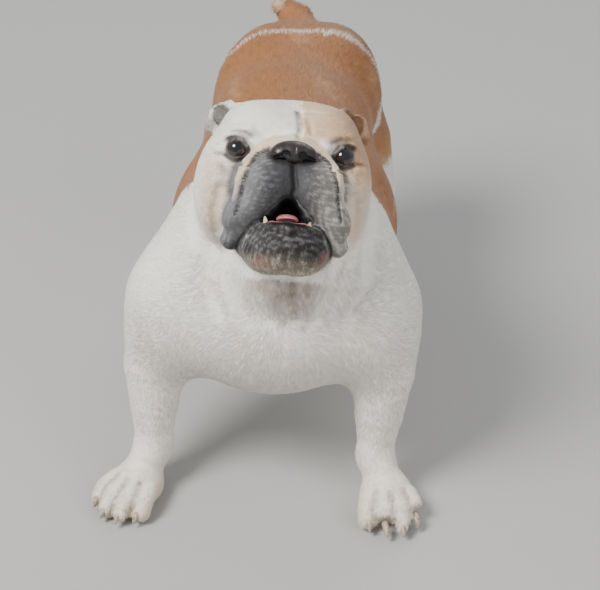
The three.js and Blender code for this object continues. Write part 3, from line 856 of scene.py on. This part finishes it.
# %% Claws and teeth
def horn(name, rows, narrow, material, node, turns=16):
    """A horn through rows of middle and radius in mm, and narrow times as wide as high."""
    rows = np.array(rows, float)
    t = np.linspace(0, len(rows) - 1, 4 * len(rows))
    rows = np.stack([np.interp(t, np.arange(len(rows)), rows[:, k]) for k in range(4)], axis=1)
    way = np.gradient(rows[:, :3], axis=0)
    way /= np.linalg.norm(way, axis=1)[:, None]
    across = np.cross(way, (0, 0, 1)) if abs(way[0, 2]) < 0.9 else np.cross(way, (0, 1, 0))
    across /= np.linalg.norm(across, axis=1)[:, None]
    over = np.cross(across, way)
    bm = bmesh.new()
    rings = []
    for k, row in enumerate(rows):
        place = Matrix((narrow * across[k], over[k], way[k])).transposed() * (row[3] / 1000)
        place = Matrix.Translation(from_mm(row[:3])) @ place.to_4x4()
        ring = bmesh.ops.create_circle(bm, cap_ends=k in (0, len(rows) - 1), segments=turns,
                                       radius=1, matrix=place)
        rings.append({edge for vert in ring["verts"] for edge in vert.link_edges})
    for lower, upper in zip(rings[:-1], rings[1:]):
        bmesh.ops.bridge_loops(bm, edges=list(lower | upper))
    bmesh.ops.recalc_face_normals(bm, faces=bm.faces)
    mesh = bpy.data.meshes.new(name)
    bm.to_mesh(mesh)
    bm.free()
    return linked(mesh, name, material, node)


def streaked(name, dark, light, roughness, scale):
    made, tree, shader = new_material(name, {"Roughness": roughness})
    coordinates = add_node(tree, "ShaderNodeTexCoord")
    noise = add_node(tree, "ShaderNodeTexNoise", {"Scale": scale, "Detail": 4.0},
                     [(coordinates, "Object", "Vector")])
    shade = add_node(tree, "ShaderNodeValToRGB", (), [(noise, "Fac", "Fac")])
    for element, position, code in zip(shade.color_ramp.elements, (0.3, 0.7), (dark, light)):
        element.position = position
        element.color = (*rgb(code), 1)
    bump = add_node(tree, "ShaderNodeBump", {"Strength": 0.3, "Distance": 0.0003},
                    [(noise, "Fac", "Height")])
    tree.links.new(shade.outputs["Color"], shader.inputs["Base Color"])
    tree.links.new(bump.outputs["Normal"], shader.inputs["Normal"])
    return made


claw_horn = streaked("claw_horn", "#8a7460", "#c9b8a2", 0.38, 300.0)
enamel = streaked("tooth_enamel", "#b99b5e", "#dccfa8", 0.2, 160.0)
wet_tongue = streaked("wet_tongue", "#a85860", "#d28a8a", 0.25, 500.0)
# along a claw: ahead of the toe's last joint, up from the floor, and the radius
CLAW = ((0, 15, 4.8), (8, 15.5, 4.4), (12, 13.2, 3.6), (14.2, 10, 2.5), (14.8, 8, 1.4))
# along a tooth: how far up it, and the radius
CANINE = ((0, 3.2), (0.3, 3.0), (0.6, 2.4), (0.85, 1.5), (1, 0.7))
for leg in FEET:
    place, size = on_foot(leg), FEET[leg][2]
    for number, (across, reach, _) in enumerate(TOES, 1):
        name = f"claw_{leg}_{number}"
        rows = [(*place(across, reach + ahead, up), radius * size) for ahead, up, radius in CLAW]
        horn(name + "_detailed", rows, 0.82, claw_horn, name)
for side, name, height in ((1, "canine_left", 5), (-1, "canine_right", 7.5)):
    rows = [(*from_head((side * (22 + 1.5 * t * t), -0.5 + 2 * t, -76 + (height + 2) * t)), radius)
            for t, radius in CANINE]
    horn(name + "_detailed", rows, 0.9, enamel, name)
tongue = joined_copy(["tongue"], "tongue_detailed")
remeshed(tongue, 0.0013)
softened = tongue.modifiers.new("soften", "SMOOTH")
softened.iterations = 8
applied(tongue)
linked(tongue.data, "tongue_wet", wet_tongue, "tongue")
bpy.data.objects.remove(tongue)
print("claws and teeth made at", round(time.time() - began, 1), "s")

# %% [markdown]
# The coat is short and lies flat. Each tuft is a closed spike with four faces: two points
# at the root, one that stands a little off the skin, and the tip. Tufts lie from the nose
# back over the head, from the withers to the tail, and down the legs. Their length falls
# from 9.5 mm on the body to under 3 mm on the face. Their colours come from the same markings.

# %% Lie and size of the tufts
def lie_of(p, normal):
    """The way a hair points, along the skin."""
    q = to_head(p)
    way = np.zeros((len(p), 3)) + (0, 1, -0.45)
    leg = rise(190 - p[:, 2], 0, 60) * (np.abs(p[:, 0]) > 55)
    way = way * (1 - leg[:, None]) + np.array((0, 0.1, -1)) * leg[:, None]
    away = (q - np.array((2, 20, 4))) @ HEAD
    away /= np.linalg.norm(away, axis=1)[:, None]
    away += 0.25 * HEAD[1]
    head = rise(165 - np.linalg.norm(q - np.array((0, 60, -20)), axis=1), 0, 45)
    way = way * (1 - head[:, None]) + away * head[:, None]
    way -= (way * normal).sum(1)[:, None] * normal
    way /= np.maximum(np.linalg.norm(way, axis=1), 1e-6)[:, None]
    return way


def sizes_at(p):
    """Length, width and lift of a tuft in mm."""
    q = to_head(p)
    of_head = rise(135 - np.linalg.norm(q - np.array((0, 40, -30)), axis=1), 0, 55)
    of_foot = rise(85 - p[:, 2], 0, 50)
    small = np.clip(np.maximum(of_head, of_foot), 0, 1)
    front = rise(85 - np.linalg.norm(q - np.array((0, 15, -45)), axis=1), 0, 25)
    for s in (1, -1):
        on_ear = rise(48 - np.linalg.norm(q - np.array((s * 71, 120, 38)), axis=1), 0, 14)
        small, front = np.maximum(small, on_ear), np.maximum(front, 0.8 * on_ear)
    front = np.maximum(front, near(FURROWS, q, 2, 10))
    length = 9.5 - 4.5 * small - 2.2 * front
    width = 1.15 - 0.35 * small - 0.2 * front
    lift = 0.8 - 0.3 * small - 0.15 * front
    return length, width, lift


# %% [markdown]
# Roots are drawn by chance over the skin's triangles. A triangle's share is its area over
# that of a tuft there, so the small tufts of the face stand as thick as the long ones.

# %% Roots of the tufts
TUFTS = 300000
chance = np.random.default_rng(23)
mesh = skin.data
mesh.calc_loop_triangles()
corners = np.empty(len(mesh.loop_triangles) * 3, np.int32)
mesh.loop_triangles.foreach_get("vertices", corners)
loops = np.empty(len(mesh.loop_triangles) * 3, np.int32)
mesh.loop_triangles.foreach_get("loops", loops)
corners, loops = corners.reshape(-1, 3), loops.reshape(-1, 3)
normals = np.empty(len(mesh.vertices) * 3, np.float32)
mesh.vertex_normals.foreach_get("vector", normals)
normals = normals.reshape(-1, 3)
p = to_mm(points_of(mesh))
a, b, c = (p[corners[:, k]] for k in range(3))
area = 0.5 * np.linalg.norm(np.cross(b - a, c - a), axis=1)
length, width, lift = sizes_at((a + b + c) / 3)
share = area / (length * width)
chosen = np.searchsorted(np.cumsum(share) / share.sum(), chance.random(TUFTS))
u, v = chance.random(TUFTS), chance.random(TUFTS)
u, v = np.where(u + v > 1, 1 - u, u), np.where(u + v > 1, 1 - v, v)
weights = np.stack([1 - u - v, u, v], axis=1)


def carried(values, which):
    """Values at the corners of triangles, carried to the roots in them."""
    return (values[which[chosen]] * weights[:, :, None]).sum(1)


roots, out = carried(p, corners), carried(normals.astype(float), corners)
out /= np.linalg.norm(out, axis=1)[:, None]
print("skin area", round(area.sum() / 1e6, 3), "m2, tufts", TUFTS)

# %% [markdown]
# Each tuft's patch for baking sits at its root's place on an unwrap of the skin.

# %% Unwrap of the skin
bpy.context.view_layer.objects.active = skin
skin.select_set(True)
bpy.ops.object.mode_set(mode="EDIT")
bpy.ops.mesh.select_all(action="SELECT")
bpy.ops.uv.smart_project(angle_limit=math.radians(66), island_margin=0.001)
bpy.ops.object.mode_set(mode="OBJECT")
flat = np.empty(len(mesh.loops) * 2, np.float32)
mesh.uv_layers[0].data.foreach_get("uv", flat)
patches = carried(flat.reshape(-1, 2), loops)
mesh.uv_layers.remove(mesh.uv_layers[0])
print("unwrapped at", round(time.time() - began, 1), "s")

# %% [markdown]
# No tuft grows in the mouth, on an eye, on the nose leather or under a sole.

# %% Tufts
q = to_head(roots)
bare = (np.abs(q[:, 0]) < 26) & (q[:, 1] < 60) & (q[:, 2] > -76) & (q[:, 2] < -44) & (out @ HEAD[1] > -0.25)
bare |= distance_to(leather, q) < 1.5
bare |= (roots[:, 2] < 4) & (out[:, 2] < -0.3)
for s in (1, -1):
    bare |= np.linalg.norm(q - np.array((s * EYE[0], *EYE[1:])), axis=1) < BALL + 1.6
keep = np.nonzero(~bare)[0]
roots, out, patches, q = roots[keep], out[keep], patches[keep], q[keep]
lie = lie_of(roots, out)
side = np.cross(out, lie)
count = len(roots)
swing = np.radians(16 * blot(roots, 70, 11) + chance.normal(0, 9, count))[:, None]
lie = lie * np.cos(swing) + side * np.sin(swing)
side = np.cross(out, lie)
length, width, lift = sizes_at(roots)
for s in (1, -1):
    near_eye = np.linalg.norm(q - np.array((s * EYE[0], *EYE[1:])), axis=1) < BALL + 7
    length, lift = np.where(near_eye, 2.2, length), np.where(near_eye, 0.3, lift)
L = (length * chance.uniform(0.7, 1.25, count))[:, None]
W = (width * chance.uniform(0.8, 1.2, count))[:, None]
H = (lift * chance.uniform(0.6, 1.5, count))[:, None]
# two points under the root, one lifted off the skin, and the tip
spike = np.stack([roots - side * W / 2 - out * 0.3, roots + side * W / 2 - out * 0.3,
                  roots + lie * L * 0.4 + out * (H * 0.75 + 0.12 * W),
                  roots + lie * L + out * H * 0.8], axis=1)
spike[:, :, 2] = np.maximum(spike[:, :, 2], 0.4)
# shading follows the skin, and leans a little by chance so that hairs catch the light
lean = out + side * chance.normal(0, 0.09, count)[:, None] - lie * chance.normal(0.02, 0.05, count)[:, None]
lean /= np.linalg.norm(lean, axis=1)[:, None]
hue = markings(roots) * (1 + chance.normal(0, 0.04, count))[:, None]
# each tuft's two root points are darker and its tip lighter: painted shade at the root and painted light at
# the tip
hues_with_painted_shade_and_light = np.clip(hue[:, None, :] * np.array((0.93, 0.93, 1.0, 1.04))[None, :, None], 0, 1)
FACES = np.array(((0, 2, 1), (0, 3, 2), (1, 2, 3), (0, 1, 3)))
PATCH = np.array(((-0.0015, -0.0015), (0.0015, -0.0015), (0, 0), (0, 0.0015)))
print("tufts kept", count)

# %% [markdown]
# The coat is cut into ten pieces by region, each well under 200,000 triangles. Hair is drier
# than skin and shines along its length, so the tufts are a little glossier than the skin
# below, with sheen at their edges. All points of a piece are handed over at once, because
# an operator for each of 300,000 tufts would take many minutes.

# %% Coat
def coat_piece(name, which):
    count = len(which)
    mesh = bpy.data.meshes.new(name)
    mesh.vertices.add(count * 4)
    mesh.vertices.foreach_set("co", from_mm(spike[which].reshape(-1, 3)).astype(np.float32).ravel())
    order = (np.arange(count)[:, None, None] * 4 + FACES[None]).reshape(-1)
    mesh.loops.add(count * 12)
    mesh.loops.foreach_set("vertex_index", order.astype(np.int32))
    mesh.polygons.add(count * 4)
    mesh.polygons.foreach_set("loop_start", np.arange(count * 4, dtype=np.int32) * 3)
    mesh.update(calc_edges=True)
    layer = mesh.uv_layers.new(name="OFBake")
    uv = patches[which][:, None, None, :] + PATCH[FACES][None]
    layer.data.foreach_set("uv", np.clip(uv, 0, 1).astype(np.float32).ravel())
    made = linked(mesh, name, tuft_hair)
    paint(made, hues_with_painted_shade_and_light[which].reshape(-1, 3))
    mesh.normals_split_custom_set_from_vertices(np.repeat(lean[which], 4, axis=0))
    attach(made, "root")
    return made


tuft_hair, tree, shader = new_material("coat_tufts", {
    "Roughness": 0.55, "Specular IOR Level": 0.3, "Sheen Weight": 0.2})
marks = add_node(tree, "ShaderNodeAttribute", attribute_name="markings")
tree.links.new(marks.outputs["Color"], shader.inputs["Base Color"])

x, y, z = roots.T
on_head = np.linalg.norm(q - np.array((0, 60, -20)), axis=1) < 150
low = z < 150
face_side = q[:, 1] < 50
regions = {
    "coat_face_left": on_head & face_side & (q[:, 0] > 0),
    "coat_face_right": on_head & face_side & (q[:, 0] <= 0),
    "coat_head_left": on_head & ~face_side & (q[:, 0] > 0),
    "coat_head_right": on_head & ~face_side & (q[:, 0] <= 0),
    "coat_forelegs": ~on_head & low & (y < 200), "coat_hindlegs": ~on_head & low & (y >= 200),
    "coat_shoulders_left": ~on_head & ~low & (y < 200) & (x > 0),
    "coat_shoulders_right": ~on_head & ~low & (y < 200) & (x <= 0),
    "coat_loin_left": ~on_head & ~low & (y >= 200) & (x > 0),
    "coat_loin_right": ~on_head & ~low & (y >= 200) & (x <= 0),
}
for name, inside in regions.items():
    which = np.nonzero(inside)[0]
    piece = coat_piece(name, which)
    print(name, len(which), "tufts")
print("coat made at", round(time.time() - began, 1), "s")

# %% [markdown]
# The animal stands on a plain pale studio floor. A large soft light from the upper left of
# the picture models the form, a weaker one on the other side opens the shadows, and a third
# from behind parts the back from the floor.

# %% Floor and light
floor_mesh = bpy.data.meshes.new("floor")
bm = bmesh.new()
bmesh.ops.create_grid(bm, x_segments=1, y_segments=1, size=6)
bm.to_mesh(floor_mesh)
bm.free()
floor = bpy.data.objects.new("floor", floor_mesh)
bpy.context.scene.collection.objects.link(floor)
pale, tree, shader = new_material("pale_floor", {"Base Color": (*rgb("#aeaca7"), 1), "Roughness": 0.9})
floor_mesh.materials.append(pale)


def soft_light(name, place, size, power):
    """A round lamp, size in m and power in W, that points at the animal."""
    data = bpy.data.lights.new(name, "AREA")
    data.shape = "DISK"
    data.size = size
    data.energy = power
    lamp = bpy.data.objects.new(name, data)
    bpy.context.scene.collection.objects.link(lamp)
    lamp.location = place
    lamp.visible_glossy = name != "fill"  # only key and rim are mirrored in the eyes
    lamp.rotation_euler = (Vector((0, 0, 0.2)) - Vector(place)).to_track_quat("-Z", "Y").to_euler()


soft_light("key", (-1.6, -1.4, 2.8), 1.4, 150)
soft_light("fill", (2.2, -1.6, 1.6), 2.4, 34)
soft_light("rim", (0.8, 2.4, 2.2), 1.8, 30)
studio = bpy.data.worlds.new("studio")
bpy.context.scene.world = studio
studio.use_nodes = True
sky = studio.node_tree.nodes["Background"]
sky.inputs["Color"].default_value = (0.85, 0.9, 1.0, 1)
sky.inputs["Strength"].default_value = 0.55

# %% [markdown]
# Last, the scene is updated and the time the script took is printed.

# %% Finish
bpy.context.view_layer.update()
print("script took", round(time.time() - began, 1), "s")
